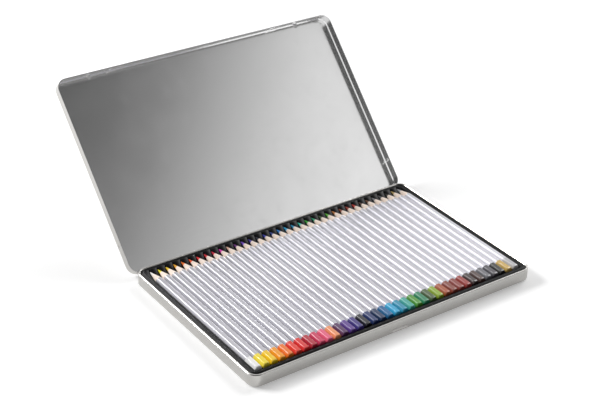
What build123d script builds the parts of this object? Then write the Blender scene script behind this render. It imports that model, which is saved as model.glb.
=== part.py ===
from build123d import *
from math import cos, pi, radians, sin, sqrt, tan
import os

# A flat tin of 36 coloured pencils, open, with its lid leaning back on its hinge.
# Millimetres. The origin is the middle of the underside of the base.
# +X runs along the row of pencils, +Y from their dipped ends to their points, +Z up.

# Tin
base_length = 312.6
base_depth = 193.6
base_height = 12.5
corner_radius = 9.0
bottom_edge_radius = 1.6
sheet = 0.35
floor_groove_inset = 12.0
floor_groove_width = 2.4
floor_groove_depth = 0.4
rim_size = 2.2
rim_facet = 0.65

# Thumb recess low on the front wall
recess_length = 18.0
recess_height = 3.2
recess_depth = 1.2
recess_slope = 45.0
recess_center_height = 3.2

# Lid, as far as it opens from shut
lid_opening = 134.5
lid_gap = 0.4
lid_headroom = 1.15
lid_bend_radius = 1.8
hem_height = 2.2
hem_below_axis = 0.7

# Forms pressed into the lid
side_rib_from_back = 30.0
side_rib_length = 4.8
side_rib_width = 2.6
dimple_from_end = 64.3
dimple_length = 12.0
dimple_height = 3.4
press_depth = 0.45
press_slope = 32.0
gusset_from_end = 36.3
gusset_width = 2.4
gusset_on_panel = 4.4
gusset_on_wall = 2.1

# Hinge
hinge_from_end = 56.3
hinge_height = 6.6
pin_diameter = 1.2
pin_clearance = 0.06
knuckle_wall = 0.49
knuckle_gap = 0.3
knuckle_width = 12.0

# Pencils
pencil_gap = 0.167
pencil_length = 177.0
pencil_axis_height = 10.4
pencil_tip_from_back = 7.4
point_angle = 11.2
point_sides = 12
lead_sides = 8
lead_diameter = 3.3
lead_clearance = 0.05
lead_tip_radius = 0.3
end_cap = 1.0

# Tray
tray_sheet = 0.6
tray_clearance = 0.4
tray_floor_gap = 0.05
flange_height = 11.9
flange_front = 4.6
flange_side = 4.7
row_end_gap = 0.5
groove_side_gap = 0.12
groove_depth = 2.05
bay_side_gap = 0.04
point_gap = 0.5
point_room = 1.5
ridge_offset = 1.1
ridge_width = 1.4
ridge_height = 0.5
ridge_chamfer = 0.3
foot_width = 14.0
foot_short_of_groove = 1.5

pencil_colors = [
    "white", "lemon", "yellow", "amber", "orange", "scarlet",
    "red", "crimson", "raspberry", "pink", "peach", "plum",
    "violet", "indigo", "ink", "navy", "midnight", "prussian",
    "azure", "cerulean", "turquoise", "leaf_green", "emerald", "olive",
    "lime", "rust", "sienna", "russet", "carmine", "umber",
    "brown", "mid_grey", "slate", "black", "gold", "silver",
]

# Sizes that follow from the ones above
pencil_count = len(pencil_colors)
tray_length = base_length - 2 * (rim_size + tray_clearance)
tray_depth = base_depth - 2 * (rim_size + tray_clearance)
pocket_half = tray_length / 2 - flange_side
pencil_pitch = 2 * (pocket_half - row_end_gap) / pencil_count
pencil_flats = (pencil_pitch - pencil_gap) * cos(radians(30))
pencil_top = pencil_axis_height + pencil_flats / 2
pencil_tip_y = base_depth / 2 - pencil_tip_from_back
pencil_end_y = pencil_tip_y - pencil_length
row_half = (pencil_count - 1) * pencil_pitch / 2
knuckle_radius = pin_diameter / 2 + pin_clearance + knuckle_wall
hinge_y = base_depth / 2 + knuckle_radius + knuckle_gap
hinge_width = 2 * knuckle_width + knuckle_gap
lid_length = base_length + 2 * (lid_gap + 2 * sheet)
lid_depth = base_depth + 2 * (lid_gap + 2 * sheet)
lid_corner = corner_radius + lid_gap + 2 * sheet
lid_top = pencil_top + lid_headroom + sheet
lid_rise = lid_top - hinge_height
lid_skirt = lid_rise + hem_below_axis
lid_back = lid_depth / 2 - hinge_y
hinge_from_middle = base_length / 2 - hinge_from_end
dimple_from_middle = base_length / 2 - dimple_from_end
gusset_from_middle = base_length / 2 - gusset_from_end
tray_corner = corner_radius - rim_size - tray_clearance
tray_bottom = sheet + tray_floor_gap
groove_floor = pencil_axis_height - pencil_flats / 2 - tray_floor_gap
groove_top = groove_floor + groove_depth
foot_length = base_length - 2 * (floor_groove_inset + floor_groove_width + foot_short_of_groove)

# The lid's own plane: its origin is on the hinge axis, its z points out of the lid's panel
lid_plane = Plane(
    origin=(0, hinge_y, hinge_height),
    x_dir=(1, 0, 0),
    z_dir=(0, sin(radians(lid_opening)), cos(radians(lid_opening))),
)


def in_lid(x, y, z):
    """A point given in the lid's own plane, as a place in the tin's frame."""
    return lid_plane.from_local_coords(Vector(x, y, z))


def lid_direction(x, y, z):
    return in_lid(x, y, z) - in_lid(0, 0, 0)


def pressed_form(outer_face, length, width, depth, slope):
    """A shallow dent in a sheet wall, as the metal to add inside and the hollow to cut outside.

    The plane lies on the wall's outer face, x along the dent and z into the wall.
    """
    run = 1 / tan(radians(slope))
    with BuildPart() as metal:
        with BuildSketch(outer_face.offset(sheet / 2)):
            spread = 2 * sheet * sqrt(1 + run**2) - sheet * run
            Rectangle(length + spread, width + spread)
        extrude(amount=depth + sheet / 2, taper=90 - slope)
    with BuildPart() as hollow:
        with BuildSketch(outer_face.offset(-sheet)):
            spread = 2 * sheet * run
            Rectangle(length + spread, width + spread)
        extrude(amount=depth + sheet, taper=90 - slope)
    return metal.part, hollow.part


def facet_in_bend(outer_radius):
    """The size of a flat that touches the inside of a bend in the sheet."""
    return (outer_radius - sheet) * (2 - sqrt(2))


def rim_ring(outer_inset, inner_inset, top, edge_chamfer):
    """A ring that follows the tin's edge, with both of its top edges cut back."""
    with BuildPart() as ring:
        with BuildSketch(Plane.XY.offset(base_height - rim_size)):
            for inset, mode in ((outer_inset, Mode.ADD), (inner_inset, Mode.SUBTRACT)):
                RectangleRounded(
                    base_length - 2 * inset,
                    base_depth - 2 * inset,
                    corner_radius - inset,
                    mode=mode,
                )
        extrude(amount=top - base_height + rim_size)
        chamfer(ring.faces().sort_by(Axis.Z)[-1].edges(), edge_chamfer)
    return ring.part


def knuckle_starts(side):
    """Where the base's knuckle and the lid's knuckle begin along X, with the base's nearer the middle."""
    first = side * hinge_from_middle - hinge_width / 2
    second = first + knuckle_width + knuckle_gap
    return (first, second) if side > 0 else (second, first)


def knuckle_profile(plane, leaf_center, leaf_size):
    """The end view of a hinge knuckle with its leaf, around the hinge axis."""
    with BuildSketch(plane) as profile:
        Circle(knuckle_radius)
        with Locations(leaf_center):
            Rectangle(*leaf_size)
        Circle(pin_diameter / 2 + pin_clearance, mode=Mode.SUBTRACT)
    return profile.sketch


# Base pan: drawn floor and walls, a rolled rim, the thumb recess and the fixed knuckles
thumb_face = Plane(
    origin=(0, -base_depth / 2, recess_center_height),
    x_dir=(1, 0, 0),
    z_dir=(0, 1, 0),
)
thumb_bump, thumb_hollow = pressed_form(
    thumb_face, recess_length, recess_height, recess_depth, recess_slope
)

with BuildPart() as base_inside:
    with BuildSketch(Plane.XY.offset(sheet)):
        RectangleRounded(base_length - 2 * sheet, base_depth - 2 * sheet, corner_radius - sheet)
    extrude(amount=base_height)
    bottom = base_inside.faces().sort_by(Axis.Z)[0]
    chamfer(bottom.edges(), facet_in_bend(bottom_edge_radius))

with BuildPart() as base_pan:
    with BuildSketch():
        RectangleRounded(base_length, base_depth, corner_radius)
    extrude(amount=base_height - rim_facet)
    fillet(base_pan.faces().sort_by(Axis.Z)[0].edges(), bottom_edge_radius)
    add(base_inside.part, mode=Mode.SUBTRACT)
    # a groove pressed up into the floor to stiffen it
    for metal, mode in ((sheet, Mode.ADD), (0, Mode.SUBTRACT)):
        with BuildSketch():
            inset = 2 * (floor_groove_inset - metal)
            RectangleRounded(base_length - inset, base_depth - inset, corner_radius)
            inset = 2 * (floor_groove_inset + floor_groove_width + metal)
            RectangleRounded(
                base_length - inset,
                base_depth - inset,
                corner_radius - floor_groove_width,
                mode=Mode.SUBTRACT,
            )
        extrude(amount=floor_groove_depth + metal, mode=mode)
    # the rim is turned over inwards, open below, and its outside stays flush with the wall
    add(rim_ring(0, rim_size, base_height, rim_facet))
    inner_facet = rim_facet - sheet * (2 - sqrt(2))
    channel = rim_ring(sheet, rim_size - sheet, base_height - sheet, inner_facet)
    add(channel, mode=Mode.SUBTRACT)
    add(thumb_bump)
    add(thumb_hollow, mode=Mode.SUBTRACT)
    for side in (-1, 1):
        knuckle_start = Plane(
            origin=(knuckle_starts(side)[0], hinge_y, hinge_height),
            x_dir=(0, 1, 0),
            z_dir=(1, 0, 0),
        )
        leaf_reach = knuckle_radius + knuckle_gap + sheet / 2
        add(
            extrude(
                knuckle_profile(
                    knuckle_start,
                    (-leaf_reach / 2, sheet / 2 - knuckle_radius),
                    (leaf_reach, sheet),
                ),
                amount=knuckle_width,
                mode=Mode.PRIVATE,
            )
        )

base_pan.part.label = "base_pan"


# Lid: drawn panel and walls, a hem round the free edge, pressed forms and its knuckles
free_edge = lid_plane.offset(-hem_below_axis)
lid_middle_y = -hinge_y

side_ribs = []
dimples = []
gussets = []
wall_middle = (lid_rise - lid_bend_radius + hem_height - hem_below_axis) / 2
for side in (-1, 1):
    side_face = Plane(
        origin=in_lid(side * lid_length / 2, lid_back - side_rib_from_back, wall_middle),
        x_dir=lid_direction(0, 0, 1),
        z_dir=lid_direction(-side, 0, 0),
    )
    side_ribs.append(
        pressed_form(side_face, side_rib_length, side_rib_width, press_depth, press_slope)
    )
    front_face = Plane(
        origin=in_lid(side * dimple_from_middle, lid_back - lid_depth, wall_middle),
        x_dir=lid_direction(1, 0, 0),
        z_dir=lid_direction(0, 1, 0),
    )
    dimples.append(
        pressed_form(front_face, dimple_length, dimple_height, press_depth, press_slope)
    )

outward = Axis((0, hinge_y, hinge_height), lid_plane.z_dir)
with BuildPart() as lid_inside:
    with BuildSketch(free_edge):
        with Locations((0, lid_middle_y)):
            RectangleRounded(lid_length - 2 * sheet, lid_depth - 2 * sheet, lid_corner - sheet)
    extrude(amount=lid_skirt - sheet)
    panel_inside = lid_inside.faces().sort_by(outward)[-1]
    chamfer(panel_inside.edges(), facet_in_bend(lid_bend_radius))

with BuildPart() as lid:
    with BuildSketch(free_edge):
        with Locations((0, lid_middle_y)):
            RectangleRounded(lid_length, lid_depth, lid_corner)
    extrude(amount=lid_skirt)
    fillet(lid.faces().sort_by(outward)[-1].edges(), lid_bend_radius)
    add(lid_inside.part, mode=Mode.SUBTRACT)
    # hem: the edge is folded back against the inside of the wall
    with BuildSketch(free_edge):
        with Locations((0, lid_middle_y)):
            RectangleRounded(lid_length - sheet, lid_depth - sheet, lid_corner - sheet / 2)
            RectangleRounded(
                lid_length - 4 * sheet,
                lid_depth - 4 * sheet,
                lid_corner - 2 * sheet,
                mode=Mode.SUBTRACT,
            )
    extrude(amount=hem_height)
    for bump, hollow in side_ribs + dimples:
        add(bump)
        add(hollow, mode=Mode.SUBTRACT)
    # gussets: short darts pressed across the bend between the panel and the front wall
    slope = gusset_on_wall / gusset_on_panel
    deep = gusset_on_wall + sheet * sqrt(1 + slope**2)
    half_sheet = sheet / 2
    for side in (-1, 1):
        dart_middle = in_lid(side * gusset_from_middle, lid_back - lid_depth, lid_rise)
        dart_plane = Plane(
            origin=dart_middle,
            x_dir=lid_direction(0, 1, 0),
            z_dir=lid_direction(1, 0, 0),
        )
        with BuildSketch(dart_plane):
            with BuildLine():
                bend_center = (lid_bend_radius, -lid_bend_radius)
                bend = CenterArc(bend_center, lid_bend_radius - half_sheet, 90, 90)
                Polyline(
                    bend @ 1,
                    (half_sheet, half_sheet * slope - deep),
                    ((deep - half_sheet) / slope, -half_sheet),
                    bend @ 0,
                )
            make_face()
        extrude(amount=gusset_width / 2 + sheet, both=True)
        with BuildSketch(dart_plane):
            with BuildLine():
                Polyline(
                    (-sheet, sheet),
                    ((gusset_on_wall + sheet) / slope, sheet),
                    (-sheet, -gusset_on_wall - sheet * slope),
                    close=True,
                )
            make_face()
        extrude(amount=gusset_width / 2, both=True, mode=Mode.SUBTRACT)
    # windows in the back wall for the hinges, then the lid's knuckles
    window_top = knuckle_radius + sheet + knuckle_gap / 2
    for side in (-1, 1):
        with BuildSketch(free_edge):
            with Locations((side * hinge_from_middle, lid_back)):
                Rectangle(hinge_width + 2 * knuckle_gap, 6 * sheet)
        extrude(amount=hem_below_axis + window_top, mode=Mode.SUBTRACT)
        knuckle_start = Plane(
            origin=in_lid(knuckle_starts(side)[1], 0, 0),
            x_dir=lid_direction(0, 1, 0),
            z_dir=lid_direction(1, 0, 0),
        )
        leaf_foot = knuckle_radius - knuckle_wall
        leaf_head = window_top + sheet
        add(
            extrude(
                knuckle_profile(
                    knuckle_start,
                    (lid_back - sheet / 2, (leaf_foot + leaf_head) / 2),
                    (sheet, leaf_head - leaf_foot),
                ),
                amount=knuckle_width,
                mode=Mode.PRIVATE,
            )
        )

lid.part.label = "lid"


# Hinge pins
hinge_pins = {}
for name, side in (("hinge_pin_left", -1), ("hinge_pin_right", 1)):
    pin_start = Plane(
        origin=(side * hinge_from_middle - hinge_width / 2, hinge_y, hinge_height),
        x_dir=(0, 1, 0),
        z_dir=(1, 0, 0),
    )
    with BuildPart() as hinge_pin:
        with BuildSketch(pin_start):
            Circle(pin_diameter / 2)
        extrude(amount=hinge_width)
    hinge_pin.part.label = name
    hinge_pins[name] = hinge_pin.part


# Tray: one thin formed sheet, with a skirt down to the floor of the tin
cone_past_tip = lead_tip_radius / tan(radians(point_angle))
point_reach = pencil_flats / 2 / tan(radians(point_angle)) - cone_past_tip
shoulder_y = pencil_tip_y - point_reach
pocket_front = flange_front - tray_depth / 2
bay_half = pencil_flats / sqrt(3) + bay_side_gap
groove_bottom_half = pencil_flats / 2 / sqrt(3) + groove_side_gap
groove_top_half = groove_bottom_half + groove_depth / sqrt(3)
pencil_places = [(i * pencil_pitch - row_half, 0) for i in range(pencil_count)]
tip_half = lead_tip_radius + point_gap
bay_end = pencil_tip_y + point_room - tip_half / 2
pocket_back = pencil_tip_y + point_room
bay_slope = (bay_half - tip_half) / (bay_end - shoulder_y)
wall_across = tray_sheet * sqrt(1 + bay_slope**2)
hollow_tip = shoulder_y + (wall_across - pencil_pitch / 2 + bay_half) / bay_slope
hollow_half = (pocket_back + tray_sheet - hollow_tip) * bay_slope

with BuildPart() as pencil_tray:
    with BuildSketch(Plane.XY.offset(tray_bottom)):
        RectangleRounded(tray_length, tray_depth, tray_corner)
    extrude(amount=flange_height - tray_bottom)
    # raised line round the flange
    with BuildSketch(Plane.XY.offset(flange_height)):
        inset = 2 * ridge_offset
        RectangleRounded(tray_length - inset, tray_depth - inset, tray_corner - ridge_offset)
        inset = 2 * (ridge_offset + ridge_width)
        RectangleRounded(
            tray_length - inset,
            tray_depth - inset,
            tray_corner - ridge_offset - ridge_width,
            mode=Mode.SUBTRACT,
        )
    extrude(amount=ridge_height)
    chamfer(pencil_tray.faces().sort_by(Axis.Z)[-1].edges(), ridge_chamfer)
    # the hollow underneath, first below the grooves and then up inside the flange
    hollow_length = tray_length - 2 * tray_sheet
    hollow_depth = tray_depth - 2 * tray_sheet
    with BuildSketch(Plane.XY.offset(tray_bottom)):
        RectangleRounded(hollow_length, hollow_depth, tray_corner - tray_sheet)
    extrude(amount=groove_floor - tray_sheet - tray_bottom, mode=Mode.SUBTRACT)
    pocket_length = 2 * (pocket_half + tray_sheet)
    pocket_depth = pocket_back - pocket_front + 2 * tray_sheet
    with BuildSketch(Plane.XY.offset(groove_floor - tray_sheet)):
        RectangleRounded(hollow_length, hollow_depth, tray_corner - tray_sheet)
        with Locations((0, (pocket_back + pocket_front) / 2)):
            Rectangle(pocket_length, pocket_depth, mode=Mode.SUBTRACT)
    extrude(amount=flange_height - groove_floor, mode=Mode.SUBTRACT)
    # foot: a trough across the grooves that stands on the floor of the tin
    with BuildSketch(Plane.XY.offset(tray_bottom)):
        Rectangle(foot_length, foot_width)
    extrude(amount=groove_floor - tray_bottom)
    with BuildSketch(Plane.XY.offset(tray_bottom + tray_sheet)):
        Rectangle(foot_length - 2 * tray_sheet, foot_width - 2 * tray_sheet)
    extrude(amount=groove_top - tray_bottom, mode=Mode.SUBTRACT)
    # the open middle above the ridges
    with BuildSketch(Plane.XY.offset(groove_top)):
        with Locations((0, (shoulder_y + pocket_front) / 2)):
            Rectangle(2 * pocket_half, shoulder_y - pocket_front)
    extrude(amount=base_height, mode=Mode.SUBTRACT)
    # one groove for each pencil, and a narrowing bay for each point
    with BuildSketch(Plane.XZ.offset(-pocket_front)):
        with Locations((0, groove_floor + groove_depth / 2)):
            with GridLocations(pencil_pitch, 1, pencil_count, 1):
                Trapezoid(2 * groove_top_half, groove_depth, 120)
    extrude(amount=pocket_front - shoulder_y, mode=Mode.SUBTRACT)
    with BuildSketch(Plane.XY.offset(groove_floor)):
        for x, _ in pencil_places:
            with BuildLine():
                Polyline(
                    (x - bay_half, shoulder_y),
                    (x + bay_half, shoulder_y),
                    (x + tip_half, bay_end),
                    (x + tip_half / 2, pocket_back),
                    (x - tip_half / 2, pocket_back),
                    (x - tip_half, bay_end),
                    close=True,
                )
            make_face()
    extrude(amount=base_height, mode=Mode.SUBTRACT)
    # the sheet is just as thin round the points, so each ridge between two bays is hollow below
    with BuildSketch(Plane.XY.offset(groove_floor - tray_sheet)):
        for x, _ in pencil_places[:-1]:
            middle = x + pencil_pitch / 2
            with BuildLine():
                Polyline(
                    (middle, hollow_tip),
                    (middle + hollow_half, pocket_back + tray_sheet),
                    (middle - hollow_half, pocket_back + tray_sheet),
                    close=True,
                )
            make_face()
    extrude(amount=flange_height - groove_floor, mode=Mode.SUBTRACT)

pencil_tray.part.label = "pencil_tray"


# One pencil lying with a flat on top: the wooden casing, and the lead in its bore.
# Its round forms are drawn with flats, because the row has so many of them.
pencil_end = Plane(
    origin=(0, pencil_end_y, pencil_axis_height),
    x_dir=(1, 0, 0),
    z_dir=(0, 1, 0),
)
cone_apex = pencil_end.offset(pencil_length + cone_past_tip)


def sharpen(sides):
    """Cut the open part down to a point, one flat at a time."""
    lean = radians(point_angle)
    for flat in range(sides):
        turn = 2 * pi * (flat + 0.5) / sides
        outward = Vector(cos(turn) * cos(lean), sin(lean), sin(turn) * cos(lean))
        split(bisect_by=Plane(origin=cone_apex.origin, z_dir=outward), keep=Keep.BOTTOM)


with BuildPart() as casing:
    with BuildSketch(pencil_end):
        RegularPolygon(pencil_flats / 2, 6, major_radius=False)
    extrude(amount=pencil_length)
    sharpen(point_sides)
    with BuildSketch(pencil_end.offset(end_cap)):
        RegularPolygon(lead_diameter / 2 + lead_clearance, lead_sides)
    extrude(amount=pencil_length, mode=Mode.SUBTRACT)

with BuildPart() as lead:
    with BuildSketch(pencil_end.offset(end_cap + lead_clearance)):
        RegularPolygon(lead_diameter / 2, lead_sides)
    extrude(amount=pencil_length - end_cap - lead_clearance)
    sharpen(lead_sides)


os.makedirs("parts", exist_ok=True)
export_step(base_pan.part, "parts/base_pan.step")
export_step(lid.part, "parts/lid.step")
export_step(pencil_tray.part, "parts/pencil_tray.step")
for name, pin in hinge_pins.items():
    export_step(pin, f"parts/{name}.step")
for number, ((x, _), color) in enumerate(zip(pencil_places, pencil_colors), start=1):
    placed = Compound(children=[Pos(x, 0, 0) * casing.part, Pos(x, 0, 0) * lead.part])
    placed.label = f"pencil_{number:02d}_{color}"
    export_step(placed, f"parts/{placed.label}.step")
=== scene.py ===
import math

import bmesh
import bpy
from mathutils import Matrix, Vector


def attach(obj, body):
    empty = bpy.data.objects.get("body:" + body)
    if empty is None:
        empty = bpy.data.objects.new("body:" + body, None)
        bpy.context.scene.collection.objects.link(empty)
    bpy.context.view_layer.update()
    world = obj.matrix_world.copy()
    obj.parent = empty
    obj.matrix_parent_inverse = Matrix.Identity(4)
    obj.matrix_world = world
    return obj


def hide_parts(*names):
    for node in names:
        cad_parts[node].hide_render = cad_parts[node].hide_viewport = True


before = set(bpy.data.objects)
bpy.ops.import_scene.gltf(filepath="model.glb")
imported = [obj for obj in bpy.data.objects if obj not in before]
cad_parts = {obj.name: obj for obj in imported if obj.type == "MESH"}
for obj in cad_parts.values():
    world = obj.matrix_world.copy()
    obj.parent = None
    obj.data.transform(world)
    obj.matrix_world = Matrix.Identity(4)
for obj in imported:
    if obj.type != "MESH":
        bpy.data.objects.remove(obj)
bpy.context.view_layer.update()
mm = 0.001
print("frame loaded:", len(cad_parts), "nodes")


class Field:                                   # a node's output that can stand in sums
    def __init__(self, board, socket):
        self.board = board
        self.socket = socket

    def sum(self, kind, *others):
        return self.board.node("ShaderNodeMath", {"operation": kind}, dict(enumerate((self, *others))))

    def __add__(self, other):
        return self.sum("ADD", other)

    def __sub__(self, other):
        return self.sum("SUBTRACT", other)

    def __rsub__(self, other):
        return self.board.node("ShaderNodeMath", {"operation": "SUBTRACT"}, {0: other, 1: self})

    def __mul__(self, other):
        return self.sum("MULTIPLY", other)

    def __truediv__(self, other):
        return self.sum("DIVIDE", other)

    def __gt__(self, other):
        return self.sum("GREATER_THAN", other)

    __radd__ = __add__
    __rmul__ = __mul__

    def clamped(self):
        return self.sum("MAXIMUM", 0.0).sum("MINIMUM", 1.0)

    def between(self, low, high):              # 0 below low, 1 above high, smooth in the middle
        settings = {"interpolation_type": "SMOOTHSTEP"}
        values = {"Value": self, "From Min": low, "From Max": high}
        return self.board.node("ShaderNodeMapRange", settings, values)


class Board:                                   # a node tree while it is laid out
    def __init__(self, tree):
        self.tree = tree
        tree.nodes.clear()

    def feed(self, socket, value):
        if isinstance(value, Field):
            self.tree.links.new(value.socket, socket)
        elif value is not None:
            wide = hasattr(socket.default_value, "__len__") and len(socket.default_value) == 4
            if wide and len(value) == 3:       # a colour without its alpha
                value = (*value, 1.0)
            socket.default_value = value

    def node(self, kind, settings=None, values=None, output=0):
        made = self.tree.nodes.new(kind)
        for name, value in (settings or {}).items():
            setattr(made, name, value)
        for name, value in (values or {}).items():
            self.feed(made.inputs[name], value)
        return None if output is None else Field(self, made.outputs[output])

    def mix(self, factor, first, second, kind="MIX"):      # two colours, at the node's colour sockets
        settings = {"data_type": "RGBA", "clamp_factor": True, "blend_type": kind}
        return self.node("ShaderNodeMix", settings, {0: factor, 6: first, 7: second}, output=2)


class Finish(Board):                           # a material with one Principled shader
    def __init__(self, name):
        self.material = bpy.data.materials.new(name)
        self.material.use_nodes = True
        super().__init__(self.material.node_tree)
        self.place = self.node("ShaderNodeTexCoord", output="Object")

    def noise(self, scale, detail=2.0, rough=0.5, stretch=(1, 1, 1), warp=0.0):
        spot = self.node("ShaderNodeMapping", None, {"Vector": self.place, "Scale": stretch})
        values = {"Vector": spot, "Scale": scale, "Detail": detail, "Roughness": rough, "Distortion": warp}
        return self.node("ShaderNodeTexNoise", None, values)

    def tint(self, attribute):                 # the colour that a piece carries under this name
        return self.node("ShaderNodeAttribute", {"attribute_name": attribute})

    def bump(self, height, depth, strength=1.0, under=None):
        values = {"Height": height, "Distance": depth, "Strength": strength, "Normal": under}
        return self.node("ShaderNodeBump", None, values)

    def done(self, **values):
        shader = self.tree.nodes.new("ShaderNodeBsdfPrincipled")
        for name, value in values.items():
            self.feed(shader.inputs[name.replace("_", " ")], value)
        self.node("ShaderNodeOutputMaterial", None, {"Surface": Field(self, shader.outputs[0])}, output=None)
        return self.material


def meshObject(name, bm):
    mesh = bpy.data.meshes.new(name)
    bmesh.ops.recalc_face_normals(bm, faces=bm.faces)
    bm.to_mesh(mesh)
    bm.free()
    made = bpy.data.objects.new(name, mesh)
    bpy.context.scene.collection.objects.link(made)
    return made


def settle(piece, angle=35):                   # turn modifiers into a plain mesh
    bpy.context.view_layer.update()
    graph = bpy.context.evaluated_depsgraph_get()
    mesh = bpy.data.meshes.new_from_object(piece.evaluated_get(graph), depsgraph=graph)
    piece.modifiers.clear()
    piece.data = mesh
    mesh.name = piece.name
    mesh.shade_smooth()
    mesh.set_sharp_from_angle(angle=math.radians(angle))
    return piece


def growTree(name, inputs):                    # a Geometry Nodes tree with named inputs
    tree = bpy.data.node_groups.new(name, "GeometryNodeTree")
    board = Board(tree)
    tree.interface.new_socket("Geometry", in_out="OUTPUT", socket_type="NodeSocketGeometry")
    for label, kind in inputs:
        tree.interface.new_socket(label, in_out="INPUT", socket_type="NodeSocket" + kind)
    asked = tree.nodes.new("NodeGroupInput")
    return board, {label: Field(board, asked.outputs[label]) for label, _ in inputs}


def runTree(board, name, values):              # an object whose mesh the tree makes
    piece = bpy.data.objects.new(name, bpy.data.meshes.new(name))
    bpy.context.scene.collection.objects.link(piece)
    modifier = piece.modifiers.new(name, "NODES")
    modifier.node_group = board.tree
    for socket in board.tree.interface.items_tree:
        if socket.in_out == "INPUT":
            modifier[socket.identifier] = values[socket.name]
    return piece


lidLook = {
    "name": "bright tin plate",
    "bright": (0.87, 0.87, 0.87),
    "dull": (0.79, 0.79, 0.79),
    "rough": 0.15,
    "turn": 134.5,                             # how far the lid is open at rest
}
# the pan is the same tin plate as the lid; its darker colours are painted shade standing in for the pan's
# darker walls
panShadedLook = {
    "name": "satin tin plate",
    "bright": (0.55, 0.54, 0.52),
    "dull": (0.47, 0.46, 0.445),
    "rough": 0.22,
}


def lidMouth(turn, past=1.0):                  # a point just past the middle of the lid's open side
    outward = Vector((0, math.sin(math.radians(turn)), math.cos(math.radians(turn))))
    along = Vector((0, -outward.z, outward.y))
    places = [corner.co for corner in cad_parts["lid"].data.vertices]
    reaches = [along.dot(place) for place in places]
    low = min(outward.dot(place) for place in places)
    return outward * (low - past * mm) + along * ((min(reaches) + max(reaches)) / 2)


def tinPlate(tin):
    look = Finish(tin["name"])
    cloud = look.noise(22, 3)
    fine = look.noise(700, 2, stretch=(0.12, 1, 1))
    rub = look.noise(90, 4, 0.6).between(0.52, 0.75)
    worn = cloud * 0.6 + rub * 0.10
    color = look.mix(worn, tin["bright"], tin["dull"])
    rough = tin["rough"] + cloud * 0.05 + rub * 0.015 + fine * 0.02
    if "turn" in tin:                          # the lid's outside is satin like the pan and takes the pan's darker colour, painted shade on the same tin
        facing = look.node("ShaderNodeTexCoord", output="Normal")
        away = look.node("ShaderNodeVectorMath", {"operation": "SUBTRACT"},
                         {0: look.place, 1: lidMouth(tin["turn"])})
        outsideShaded = look.node("ShaderNodeVectorMath", {"operation": "DOT_PRODUCT"},
                            {0: facing, 1: away}, output="Value") > 0.0
        color = look.mix(outsideShaded, color, look.mix(worn, panShadedLook["bright"], panShadedLook["dull"]))
        rough = rough + outsideShaded * (panShadedLook["rough"] - tin["rough"])
    grain = look.bump(fine, 0.00002, 0.35)
    waves = look.bump(look.noise(9, 1), 0.0004, 0.10, under=grain)
    return look.done(Base_Color=color, Metallic=1.0, Roughness=rough, Normal=waves)


wireLook = {"bright": (0.62, 0.62, 0.63), "dull": (0.50, 0.50, 0.52), "rough": 0.25}


def pinWire():
    look = Finish("drawn wire")
    lines = look.noise(900, 2, stretch=(0.05, 1, 1))
    color = look.mix(lines, wireLook["bright"], wireLook["dull"])
    return look.done(Base_Color=color, Metallic=1.0, Roughness=wireLook["rough"] + lines * 0.15,
                     Normal=look.bump(lines, 0.00002, 0.3))


plasticLook = {"clean": (0.004, 0.004, 0.0045), "dusty": (0.03, 0.03, 0.03), "rough": 0.36, "gloss": 0.14}


def trayPlastic():
    look = Finish("black formed plastic")
    pebble = look.noise(2600, 1)
    cloud = look.noise(40, 3)
    dust = look.noise(1500, 2, 0.7).between(0.70, 0.80)
    color = look.mix(dust * 0.4, plasticLook["clean"], plasticLook["dusty"])
    rough = plasticLook["rough"] + cloud * 0.08 + dust * 0.2
    return look.done(Base_Color=color, Roughness=rough, Specular_IOR_Level=plasticLook["gloss"],
                     Normal=look.bump(pebble, 0.00003, 0.2))


casingLook = {"bright": (0.545, 0.54, 0.58), "dull": (0.48, 0.475, 0.515), "rough": 0.28, "metal": 0.65}


def casingLacquer():
    look = Finish("silver white lacquer")
    flake = look.noise(9000, 1)
    cloud = look.noise(120, 3, stretch=(1, 0.25, 1))
    color = look.mix(cloud * 0.5, casingLook["bright"], casingLook["dull"])
    rough = casingLook["rough"] + flake * 0.04 + cloud * 0.03
    ripple = look.bump(look.noise(90, 1, stretch=(1, 0.05, 1)), 0.00001, 0.04)
    return look.done(Base_Color=color, Metallic=casingLook["metal"], Roughness=rough, Normal=ripple)


dipLook = {"shade": 0.72, "rough": 0.16, "gloss": 0.35, "coat": 0.55, "coatRough": 0.06}


def dipLacquer():
    look = Finish("gloss color lacquer")
    tint = look.tint("tint")
    cloud = look.noise(300, 3)
    dark = look.mix(1.0, tint, (dipLook["shade"],) * 3, "MULTIPLY")
    color = look.mix(cloud * 0.5, tint, dark)
    rough = dipLook["rough"] + look.noise(500, 2) * 0.08
    drip = look.bump(look.noise(350, 2, stretch=(1, 0.3, 1)), 0.00006, 0.25)
    return look.done(Base_Color=color, Roughness=rough, Specular_IOR_Level=dipLook["gloss"],
                     Coat_Weight=dipLook["coat"], Coat_Roughness=dipLook["coatRough"], Normal=drip)


woodLook = {
    "pale": (0.97, 0.87, 0.79),
    "fiber": (0.90, 0.74, 0.63),
    "ring": (0.90, 0.73, 0.61),
    "rough": 0.62,
}


def bareWood():
    look = Finish("sharpened wood")
    fiber = look.noise(1400, 4, 0.6, stretch=(1, 0.06, 1), warp=0.3)
    ring = look.noise(420, 2, stretch=(1, 0.10, 1))
    color = look.mix(fiber, woodLook["pale"], woodLook["fiber"])
    color = look.mix(ring * 0.3, color, woodLook["ring"])
    cut = look.bump(fiber, 0.00008, 0.5)
    return look.done(Base_Color=color, Roughness=woodLook["rough"] + fiber * 0.15, Normal=cut)


leadLook = {"shade": 0.7, "rough": 0.42}


def colorLead():
    look = Finish("color lead")
    tint = look.tint("leadTint")
    turned = look.noise(2200, 2, stretch=(0.3, 1, 0.3))
    dark = look.mix(1.0, tint, (leadLook["shade"],) * 3, "MULTIPLY")
    color = look.mix(turned * 0.6, tint, dark)
    lines = look.bump(turned, 0.00005, 0.4)
    return look.done(Base_Color=color, Roughness=leadLook["rough"] + turned * 0.2, Normal=lines)


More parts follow.
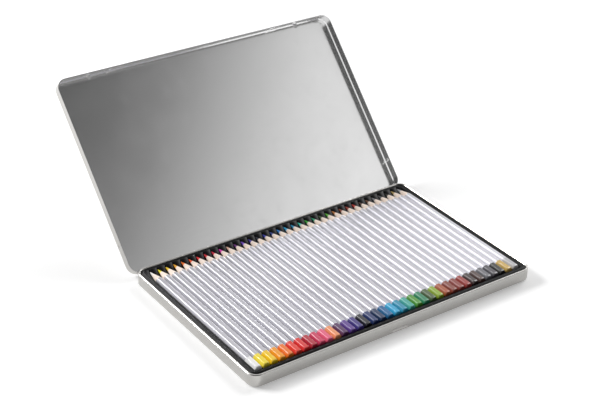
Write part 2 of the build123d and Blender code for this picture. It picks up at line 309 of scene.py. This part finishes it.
finishes = {
    "lidTin": tinPlate(lidLook),
    # the pan's tin, darkened by painted shade
    "panTinShaded": tinPlate(panShadedLook),
    "wire": pinWire(),
    "tray": trayPlastic(),
    "casing": casingLacquer(),
    "dip": dipLacquer(),
    "wood": bareWood(),
    "lead": colorLead(),
}
print("finishes made:", len(finishes))

# the tin itself keeps its solids
for nodeName, look in (("base_pan", "panTinShaded"), ("lid", "lidTin"),
                       ("hinge_pin_left", "wire"), ("hinge_pin_right", "wire")):
    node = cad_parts[nodeName]
    node.data.materials.clear()
    node.data.materials.append(finishes[look])
print("tin and pins finished")

pencilSize = {
    "length": 177.0,
    "endY": -87.6,
    "axisHeight": 10.4,
    "pitch": 8.25,
    "acrossFlats": 7.0,
    "edgeRound": 0.75,
    "dipLength": 15.6,
    "coneAngle": 11.2,
    "leadRadius": 1.65,
    "tipRadius": 0.28,
    "flatSoft": 30,                            # edges sharper than this many degrees stay sharp
}
pencilZones = ("Casing", "Dip", "Wood", "Lead")

# name, colour of the dipped end, colour of the lead
pencilTints = [
    ("white", (0.93, 0.92, 0.92), (0.94, 0.92, 0.88)),
    ("lemon", (0.95, 0.76, 0.04), (0.92, 0.80, 0.02)),
    ("yellow", (0.95, 0.62, 0.01), (0.95, 0.62, 0.01)),
    ("amber", (0.95, 0.36, 0.01), (0.93, 0.42, 0.01)),
    ("orange", (0.92, 0.20, 0.015), (0.93, 0.18, 0.01)),
    ("scarlet", (0.84, 0.05, 0.03), (0.92, 0.10, 0.02)),
    ("red", (0.76, 0.03, 0.03), (0.90, 0.03, 0.04)),
    ("crimson", (0.50, 0.02, 0.045), (0.75, 0.02, 0.04)),
    ("raspberry", (0.66, 0.05, 0.13), (0.72, 0.02, 0.06)),
    ("pink", (0.84, 0.13, 0.24), (0.85, 0.05, 0.50)),
    ("peach", (0.92, 0.34, 0.15), (0.88, 0.56, 0.42)),
    ("plum", (0.10, 0.03, 0.12), (0.16, 0.02, 0.20)),
    ("violet", (0.12, 0.05, 0.30), (0.22, 0.08, 0.66)),
    ("indigo", (0.06, 0.04, 0.24), (0.08, 0.05, 0.36)),
    ("ink", (0.010, 0.010, 0.018), (0.02, 0.02, 0.04)),
    ("navy", (0.02, 0.04, 0.16), (0.04, 0.05, 0.45)),
    ("midnight", (0.012, 0.035, 0.11), (0.03, 0.06, 0.30)),
    ("prussian", (0.012, 0.14, 0.34), (0.02, 0.24, 0.70)),
    ("azure", (0.03, 0.42, 0.70), (0.03, 0.45, 0.80)),
    ("cerulean", (0.02, 0.30, 0.46), (0.02, 0.36, 0.66)),
    ("turquoise", (0.06, 0.42, 0.36), (0.06, 0.68, 0.52)),
    ("leaf_green", (0.08, 0.33, 0.03), (0.04, 0.46, 0.04)),
    ("emerald", (0.02, 0.25, 0.12), (0.03, 0.40, 0.20)),
    ("olive", (0.07, 0.12, 0.04), (0.08, 0.13, 0.06)),
    ("lime", (0.30, 0.45, 0.03), (0.12, 0.55, 0.04)),
    ("rust", (0.42, 0.09, 0.03), (0.60, 0.22, 0.05)),
    ("sienna", (0.26, 0.05, 0.03), (0.34, 0.08, 0.04)),
    ("russet", (0.28, 0.045, 0.035), (0.40, 0.06, 0.04)),
    ("carmine", (0.34, 0.035, 0.03), (0.58, 0.04, 0.03)),
    ("umber", (0.05, 0.03, 0.03), (0.10, 0.05, 0.04)),
    ("brown", (0.08, 0.04, 0.035), (0.20, 0.09, 0.05)),
    ("mid_grey", (0.15, 0.15, 0.17), (0.26, 0.26, 0.28)),
    ("slate", (0.08, 0.075, 0.09), (0.12, 0.12, 0.13)),
    ("black", (0.02, 0.02, 0.018), (0.02, 0.02, 0.02)),
    ("gold", (0.66, 0.44, 0.11), (0.60, 0.42, 0.14)),
    ("silver", (0.50, 0.50, 0.52), (0.52, 0.52, 0.54)),
]


def hexRadius(turn):                           # a hexagon with rounded edges, flat side up
    flat = pencilSize["acrossFlats"] / 2
    soft = pencilSize["edgeRound"]
    halfSide = math.pi / 6                     # the turn from the middle of a flat to its edge
    off = abs((turn + 2 * halfSide) % (2 * halfSide) - halfSide)
    center = (flat - soft) / math.cos(halfSide)
    reach = math.atan((flat - soft) * math.tan(halfSide) / flat)
    if off < reach:
        return flat / math.cos(off)
    fromEdge = halfSide - off
    return center * math.cos(fromEdge) + math.sqrt(soft**2 - (center * math.sin(fromEdge)) ** 2)


def pencilBlank():
    size = pencilSize
    slope = math.tan(math.radians(size["coneAngle"]))
    apex = size["length"] + size["tipRadius"] / slope
    leadStart = apex - size["leadRadius"] / slope
    turns = []
    for side in range(6):                      # closer together near the six edges
        for off in (-30, -27, -24.4, -14, 0, 14, 24.4, 27):
            turns.append(math.radians(60 * side + 30 + off))
    casing, dipped, wood, lead = range(len(pencilZones))
    rows = []                                  # the zone of the faces after the row, then its places

    def ring(zone, spot):
        rows.append((zone, [spot(turn) for turn in turns]))

    for y, share in ((0.0, 0.35), (0.03, 0.62), (0.16, 0.83), (0.5, 0.945), (1.05, 0.99), (1.9, 1.004)):
        ring(dipped, lambda turn, y=y, share=share: (y, hexRadius(turn) * share))
    dip = size["dipLength"]
    for y, proud in ((dip * 0.5, 0.03), (dip - 0.5, 0.035), (dip - 0.15, 0.04), (dip, 0.025)):
        ring(dipped, lambda turn, y=y, proud=proud: (y, hexRadius(turn) + proud))
    ring(casing, lambda turn: (dip + 0.06, hexRadius(turn)))
    for y in (dip + 0.6, 60, 110, 150):
        ring(casing, lambda turn, y=y: (y, hexRadius(turn)))
    ring(casing, lambda turn: (apex - hexRadius(turn) / slope - 0.25, hexRadius(turn)))
    ring(wood, lambda turn: (apex - hexRadius(turn) / slope, hexRadius(turn) - 0.03))
    for share in (0.08, 0.3, 0.6, 0.9, 1.0):
        def spot(turn, share=share):
            start = apex - hexRadius(turn) / slope
            y = start + share * (leadStart - start)
            return (y, (apex - y) * slope - 0.03)
        ring(lead if share == 1.0 else wood, spot)
    ring(lead, lambda turn: (leadStart + 0.05, size["leadRadius"] - 0.06))
    for share in (0.3, 0.6, 0.85, 1.0):
        y = leadStart + share * (size["length"] - 0.35 - leadStart)
        ring(lead, lambda turn, y=y: (y, (apex - y) * slope - 0.05))
    ring(lead, lambda turn: (size["length"] - 0.12, size["tipRadius"] * 0.75))

    bm = bmesh.new()
    zone = bm.faces.layers.int.new("zone")
    rings = []
    for _, places in rows:
        around = []
        for turn, (y, radius) in zip(turns, places):
            spot = (radius * math.cos(turn) * mm, y * mm, radius * math.sin(turn) * mm)
            around.append(bm.verts.new(spot))
        rings.append(around)
    for (kind, _), near, far in zip(rows, rings, rings[1:]):
        for i in range(len(turns)):
            j = (i + 1) % len(turns)
            face = bm.faces.new((near[i], near[j], far[j], far[i]))
            face[zone] = kind
    for around, y, kind in ((rings[0], 0.0, dipped), (rings[-1], size["length"], lead)):
        middle = bm.verts.new((0, y * mm, 0))
        for i in range(len(turns)):
            face = bm.faces.new((around[i], around[(i + 1) % len(turns)], middle))
            face[zone] = kind
    return meshObject("pencilBlank", bm)


def pencilTree():
    inputs = [("Blank", "Object"), ("Pitch", "Float"), ("Row Count", "Int"), ("Number", "Int"),
              ("End Y", "Float"), ("Axis Height", "Float")]
    inputs += [(zone, "Material") for zone in pencilZones]
    board, asked = growTree("pencilRow", inputs)
    first = (asked["Row Count"] - 1) * asked["Pitch"] * -0.5
    start = board.node("ShaderNodeCombineXYZ", None, {0: first, 1: asked["End Y"], 2: asked["Axis Height"]})
    step = board.node("ShaderNodeCombineXYZ", None, {0: asked["Pitch"]})
    row = board.node("GeometryNodeMeshLine", {"mode": "OFFSET"},
                     {"Count": asked["Row Count"], "Start Location": start, "Offset": step})
    index = board.node("GeometryNodeInputIndex")
    others = board.node("FunctionNodeCompare", {"data_type": "INT", "operation": "NOT_EQUAL"},
                        {2: index, 3: asked["Number"]})
    spot = board.node("GeometryNodeDeleteGeometry", {"domain": "POINT"}, {0: row, "Selection": others})
    blank = board.node("GeometryNodeObjectInfo", None, {"Object": asked["Blank"]}, output="Geometry")
    placed = board.node("GeometryNodeInstanceOnPoints", None, {"Points": spot, "Instance": blank})
    made = board.node("GeometryNodeRealizeInstances", None, {0: placed})
    zoneOf = board.node("GeometryNodeInputNamedAttribute", {"data_type": "INT"}, {"Name": "zone"})
    for number, zone in enumerate(pencilZones):
        here = board.node("FunctionNodeCompare", {"data_type": "INT", "operation": "EQUAL"},
                          {2: zoneOf, 3: number})
        made = board.node("GeometryNodeSetMaterial", None,
                          {"Geometry": made, "Selection": here, "Material": asked[zone]})
    board.node("NodeGroupOutput", None, {0: made}, output=None)
    return board


def paintTint(mesh, name, color):              # one colour over the whole piece, as an attribute
    layer = mesh.attributes.new(name, "FLOAT_COLOR", "POINT")
    layer.data.foreach_set("color", [*color, 1.0] * len(mesh.vertices))


blank = pencilBlank()
row = pencilTree()
for number, (tintName, dipTint, leadTint) in enumerate(pencilTints):
    label = f"{number + 1:02d}_{tintName}"
    values = {
        "Blank": blank,
        "Pitch": pencilSize["pitch"] * mm,
        "Row Count": len(pencilTints),
        "Number": number,
        "End Y": pencilSize["endY"] * mm,
        "Axis Height": pencilSize["axisHeight"] * mm,
        "Casing": finishes["casing"],
        "Dip": finishes["dip"],
        "Wood": finishes["wood"],
        "Lead": finishes["lead"],
    }
    piece = settle(runTree(row, "coloredPencil_" + label, values), pencilSize["flatSoft"])
    paintTint(piece.data, "tint", dipTint)
    paintTint(piece.data, "leadTint", leadTint)
    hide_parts("pencil_" + label)
    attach(piece, f"pencil_{number + 1:02d}")
bpy.data.objects.remove(blank)
print("pencils laid in:", len(pencilTints))

traySize = {
    "length": 307.4,
    "depth": 188.4,
    "corner": 6.4,
    "leastCorner": 0.9,
    "bottom": 0.4,
    "flange": 11.9,
    "pocketFront": -89.6,
    "pocketBack": 90.9,
    "shoulder": 72.9,
    "floor": 6.85,
    "ridgeTop": 8.9,
    "bayHalf": 4.08,
    "tipHalf": 0.9,
    "grooveHalf": 2.12,
    "grooveTopHalf": 3.30,
    "ridgeStart": 0.40,        # share of their height at which the ridges between the points start
    "ridgePower": 6,           # how late they climb to the flange
    "sheet": 0.5,
    "flatSoft": 40,            # edges sharper than this many degrees stay sharp
}


def loopPlaces(x0, x1, y0, y1, radius, steps=8):
    places = []
    for cx, cy, start in ((x1 - radius, y0 + radius, -90), (x1 - radius, y1 - radius, 0),
                          (x0 + radius, y1 - radius, 90), (x0 + radius, y0 + radius, 180)):
        for step in range(steps + 1):
            turn = math.radians(start + 90 * step / steps)
            places.append((cx + radius * math.cos(turn), cy + radius * math.sin(turn)))
    return places


def trayFlange():
    size = traySize
    x, y = size["length"] / 2, size["depth"] / 2
    side = x - len(pencilTints) / 2 * pencilSize["pitch"]
    front = y + size["pocketFront"]
    back = y - size["pocketBack"]
    top = size["flange"]
    profile = [(0, size["bottom"]), (0, 4), (0, top - 1.2), (0.12, top - 0.55), (0.4, top - 0.15), (0.8, top),
               (1.05, top + 0.08), (1.3, top + 0.35), (1.6, top + 0.48), (1.9, top + 0.5),
               (2.2, top + 0.44), (2.45, top + 0.2), (2.65, top + 0.04), (2.9, top)]
    inner = [(-0.45, top - 0.02), (-0.2, top - 0.12), (-0.05, top - 0.4),
             (0.0, top - 1.0), (0.0, top - 3), (0.05, 6.9)]
    bm = bmesh.new()
    loops = []
    for inset, z in profile:
        corner = max(size["corner"] - inset, size["leastCorner"])
        places = loopPlaces(-x + inset, x - inset, -y + inset, y - inset, corner)
        loops.append([bm.verts.new((a * mm, b * mm, z * mm)) for a, b in places])
    for past, z in inner:
        places = loopPlaces(-x + side + past, x - side - past,
                            -y + front + past, y - back - past - 0.15, size["leastCorner"])
        loops.append([bm.verts.new((a * mm, b * mm, z * mm)) for a, b in places])
    for near, far in zip(loops, loops[1:]):
        for i in range(len(near)):
            j = (i + 1) % len(near)
            bm.faces.new((near[i], near[j], far[j], far[i]))
    return meshObject("trayFlange", bm)


def trayStrip():                               # the tray under one pencil, from front to back
    size = traySize
    half = pencilSize["pitch"] / 2
    floor, low, top = size["floor"], size["ridgeTop"], size["flange"]

    def groove(rise=0.0):                      # half of a section, as distances from the middle and heights
        return [(0, floor), (1.2, floor), (size["grooveHalf"], floor + 0.02), (2.45, floor + 0.55),
                (3.05, floor + 1.55), (size["grooveTopHalf"], low - 0.16 + rise * 0.5),
                (3.55, low - 0.03 + rise * 0.8), (half, low + rise)]

    def bay(wide, lift=1.0):
        wall = top - 0.75
        edge = min(0.45, (half - wide) * 0.5)
        return [(0, floor), (wide * 0.55, floor), (wide * 0.94, floor + 0.03), (wide, floor + 0.5),
                (wide + edge * 0.1, floor + (wall - floor) * lift),
                (wide + edge * 0.45, floor + (top - 0.3 - floor) * lift),
                (wide + edge, floor + (top - 0.08 - floor) * lift), (half, floor + (top - floor) * lift)]

    rows = [(size["pocketFront"] - 0.1, groove()), (size["pocketFront"] + 8, groove()), (0, groove()),
            (size["shoulder"] - 3.0, groove()), (size["shoulder"] - 0.9, groove(0.1)),
            (size["shoulder"] - 0.35, groove(0.5))]
    first, last = size["shoulder"], size["pocketBack"] - size["tipHalf"]
    for share in (0, 0.06, 0.14, 0.25, 0.4, 0.55, 0.7, 0.85, 1):
        wide = size["bayHalf"] + share * (size["tipHalf"] - size["bayHalf"])
        lift = size["ridgeStart"] + (1 - size["ridgeStart"]) * share ** size["ridgePower"]
        rows.append((first + share * (last - first), bay(wide, lift)))
    for turn in (30, 55, 75, 88):
        angle = math.radians(turn)
        rows.append((last + size["tipHalf"] * math.sin(angle), bay(size["tipHalf"] * math.cos(angle))))
    rows.append((size["pocketBack"] + 0.05, [(x, top - 0.75 if x < 0.3 else z) for x, z in bay(0.05)]))
    rows.append((size["pocketBack"] + 0.25, [(x, top - 0.15) for x, z in bay(0.3)]))
    rows.append((size["pocketBack"] + 0.6, [(x, top) for x, z in bay(0.5)]))
    bm = bmesh.new()
    lines = []
    for y, places in rows:
        whole = [(-x, z) for x, z in reversed(places[1:])] + places
        lines.append([bm.verts.new((x * mm, y * mm, z * mm)) for x, z in whole])
    for near, far in zip(lines, lines[1:]):
        for i in range(len(near) - 1):
            bm.faces.new((near[i], near[i + 1], far[i + 1], far[i]))
    return meshObject("trayStrip", bm)


def trayTree():
    inputs = [("Strip", "Object"), ("Flange", "Object"), ("Pitch", "Float"),
              ("Count", "Int"), ("Plastic", "Material")]
    board, asked = growTree("trayGrooves", inputs)
    start = board.node("ShaderNodeCombineXYZ", None, {0: (asked["Count"] - 1) * asked["Pitch"] * -0.5})
    step = board.node("ShaderNodeCombineXYZ", None, {0: asked["Pitch"]})
    line = board.node("GeometryNodeMeshLine", {"mode": "OFFSET"},
                      {"Count": asked["Count"], "Start Location": start, "Offset": step})
    strip = board.node("GeometryNodeObjectInfo", None, {"Object": asked["Strip"]}, output="Geometry")
    strips = board.node("GeometryNodeInstanceOnPoints", None, {"Points": line, "Instance": strip})
    whole = board.node("GeometryNodeRealizeInstances", None, {0: strips})
    whole = board.node("GeometryNodeMergeByDistance", None, {"Geometry": whole, "Distance": 0.00001})
    flange = board.node("GeometryNodeObjectInfo", None, {"Object": asked["Flange"]}, output="Geometry")
    join = board.tree.nodes.new("GeometryNodeJoinGeometry")
    board.tree.links.new(flange.socket, join.inputs[0])
    board.tree.links.new(whole.socket, join.inputs[0])
    made = board.node("GeometryNodeSetMaterial", None,
                      {"Geometry": Field(board, join.outputs[0]), "Material": asked["Plastic"]})
    board.node("NodeGroupOutput", None, {0: made}, output=None)
    return board


strip, flange = trayStrip(), trayFlange()
tray = runTree(trayTree(), "formedTray", {
    "Strip": strip,
    "Flange": flange,
    "Pitch": pencilSize["pitch"] * mm,
    "Count": len(pencilTints),
    "Plastic": finishes["tray"],
})
wall = tray.modifiers.new("sheet", "SOLIDIFY")
wall.thickness = traySize["sheet"] * mm
wall.offset = -1
settle(tray, traySize["flatSoft"])
bpy.data.objects.remove(strip)
bpy.data.objects.remove(flange)
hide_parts("pencil_tray")
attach(tray, "tray")
print("tray formed:", len(tray.data.polygons), "faces")

# sizes and places are in metres, powers in watts
studio = {
    "floorHalf": 6.0,
    "floorTone": 0.93,
    "floorMottle": 0.02,
    "floorLift": 0.22,
    # two dark patches of the surroundings: the lid mirrors the first one, the second is the room in front
    "overhead": {"aim": (-0.133, -0.20, 0.972), "edge": (0.775, 0.70), "level": 0.085},
    "front": {"aim": (0.60, -0.80, 0.05), "edge": (0.90, 0.78), "level": 0.30},
    "roomShare": 0.55,                         # how much of the surroundings lights dull surfaces
    "windowBox": {"place": (-1.6, 2.1, 1.75), "size": (1.4, 0.9), "power": 78.0},
    "fillBox": {"place": (2.1, 0.6, 1.7), "size": (1.4, 1.1), "power": 34.0},
}


def floorFinish():
    look = Finish("white floor")
    path = look.tree.nodes.new("ShaderNodeLightPath")
    seen = (Field(look, path.outputs["Is Camera Ray"]) + Field(look, path.outputs["Is Glossy Ray"])
            + Field(look, path.outputs["Is Transmission Ray"])).clamped()
    bright, dull = studio["floorTone"], studio["floorTone"] - studio["floorMottle"]
    tone = look.mix(look.noise(3, 2), (bright,) * 3, (dull,) * 3)
    diffuse = look.node("ShaderNodeBsdfDiffuse", None, {"Color": tone})
    lift = look.node("ShaderNodeEmission", None, {"Color": (1, 1, 1), "Strength": studio["floorLift"]})
    both = look.node("ShaderNodeAddShader", None, {0: diffuse, 1: lift})
    shader = look.node("ShaderNodeMixShader", None, {0: seen, 1: diffuse, 2: both})
    look.node("ShaderNodeOutputMaterial", None, {"Surface": shader}, output=None)
    return look.material


bm = bmesh.new()
bmesh.ops.create_grid(bm, x_segments=2, y_segments=2, size=studio["floorHalf"])
floor = meshObject("floor", bm)
floor.data.materials.append(floorFinish())

world = bpy.data.worlds.new("studio")
bpy.context.scene.world = world
world.use_nodes = True
air = Board(world.node_tree)
path = world.node_tree.nodes.new("ShaderNodeLightPath")
bare = Field(air, path.outputs["Is Camera Ray"])
ray = air.node("ShaderNodeTexCoord", output="Generated")
mirrored = (Field(air, path.outputs["Is Glossy Ray"])
            + Field(air, path.outputs["Is Transmission Ray"])).clamped()
glow = studio["roomShare"] + (1 - studio["roomShare"]) * mirrored
for patch in (studio["overhead"], studio["front"]):
    toPatch = air.node("ShaderNodeVectorMath", {"operation": "DOT_PRODUCT"},
                       {0: ray, 1: patch["aim"]}, output="Value")
    inner, outer = patch["edge"]               # cosines from the middle of the dark patch
    bright = ((inner - toPatch) / (inner - outer)).clamped()
    glow = glow * (patch["level"] + (1 - patch["level"]) * bright)
soft = air.node("ShaderNodeBackground", None, {"Color": (1, 1, 1), "Strength": glow})
plain = air.node("ShaderNodeBackground", None, {"Color": (1, 1, 1), "Strength": 1.0})
shown = air.node("ShaderNodeMixShader", None, {0: bare, 1: soft, 2: plain})
air.node("ShaderNodeOutputWorld", None, {"Surface": shown}, output=None)


for name in ("windowBox", "fillBox"):          # soft boxes that face the origin
    box = studio[name]
    lamp = bpy.data.lights.new(name, "AREA")
    lamp.shape = "RECTANGLE"
    lamp.size, lamp.size_y = box["size"]
    lamp.energy = box["power"]
    softBox = bpy.data.objects.new(name, lamp)
    softBox.location = box["place"]
    softBox.rotation_euler = (-Vector(box["place"])).to_track_quat("-Z", "Y").to_euler()
    bpy.context.scene.collection.objects.link(softBox)

# angles in degrees, aim and distance in mm
view = {
    "azimuth": -36.84,
    "elevation": 30.0,
    "roll": 2.31,
    "aim": (59.6, 128.6, 0.0),
    "distance": 1482.1,
    "focalPixels": 1474.3,
    "widthPixels": 612,
    "sensorWidth": 36,
    "clip": (0.05, 30),                        # in metres
}


def photoCamera():
    az, el, roll = (math.radians(view[key]) for key in ("azimuth", "elevation", "roll"))
    back = Vector((math.sin(az) * math.cos(el), -math.cos(az) * math.cos(el), math.sin(el)))
    right = Vector((math.cos(az), math.sin(az), 0))
    up = back.cross(right)
    turnedRight = right * math.cos(roll) + up * math.sin(roll)
    turnedUp = up * math.cos(roll) - right * math.sin(roll)
    lens = bpy.data.cameras.new("photoCamera")
    lens.sensor_width = view["sensorWidth"]
    lens.lens = view["focalPixels"] / view["widthPixels"] * lens.sensor_width
    lens.clip_start, lens.clip_end = view["clip"]
    camera = bpy.data.objects.new("photoCamera", lens)
    place = Vector(view["aim"]) * mm + back * view["distance"] * mm
    facing = Matrix((turnedRight, turnedUp, back)).transposed().to_4x4()
    camera.matrix_world = Matrix.Translation(place) @ facing
    bpy.context.scene.collection.objects.link(camera)
    bpy.context.scene.camera = camera


photoCamera()
bpy.context.scene.view_settings.view_transform = "Standard"
print("studio ready")
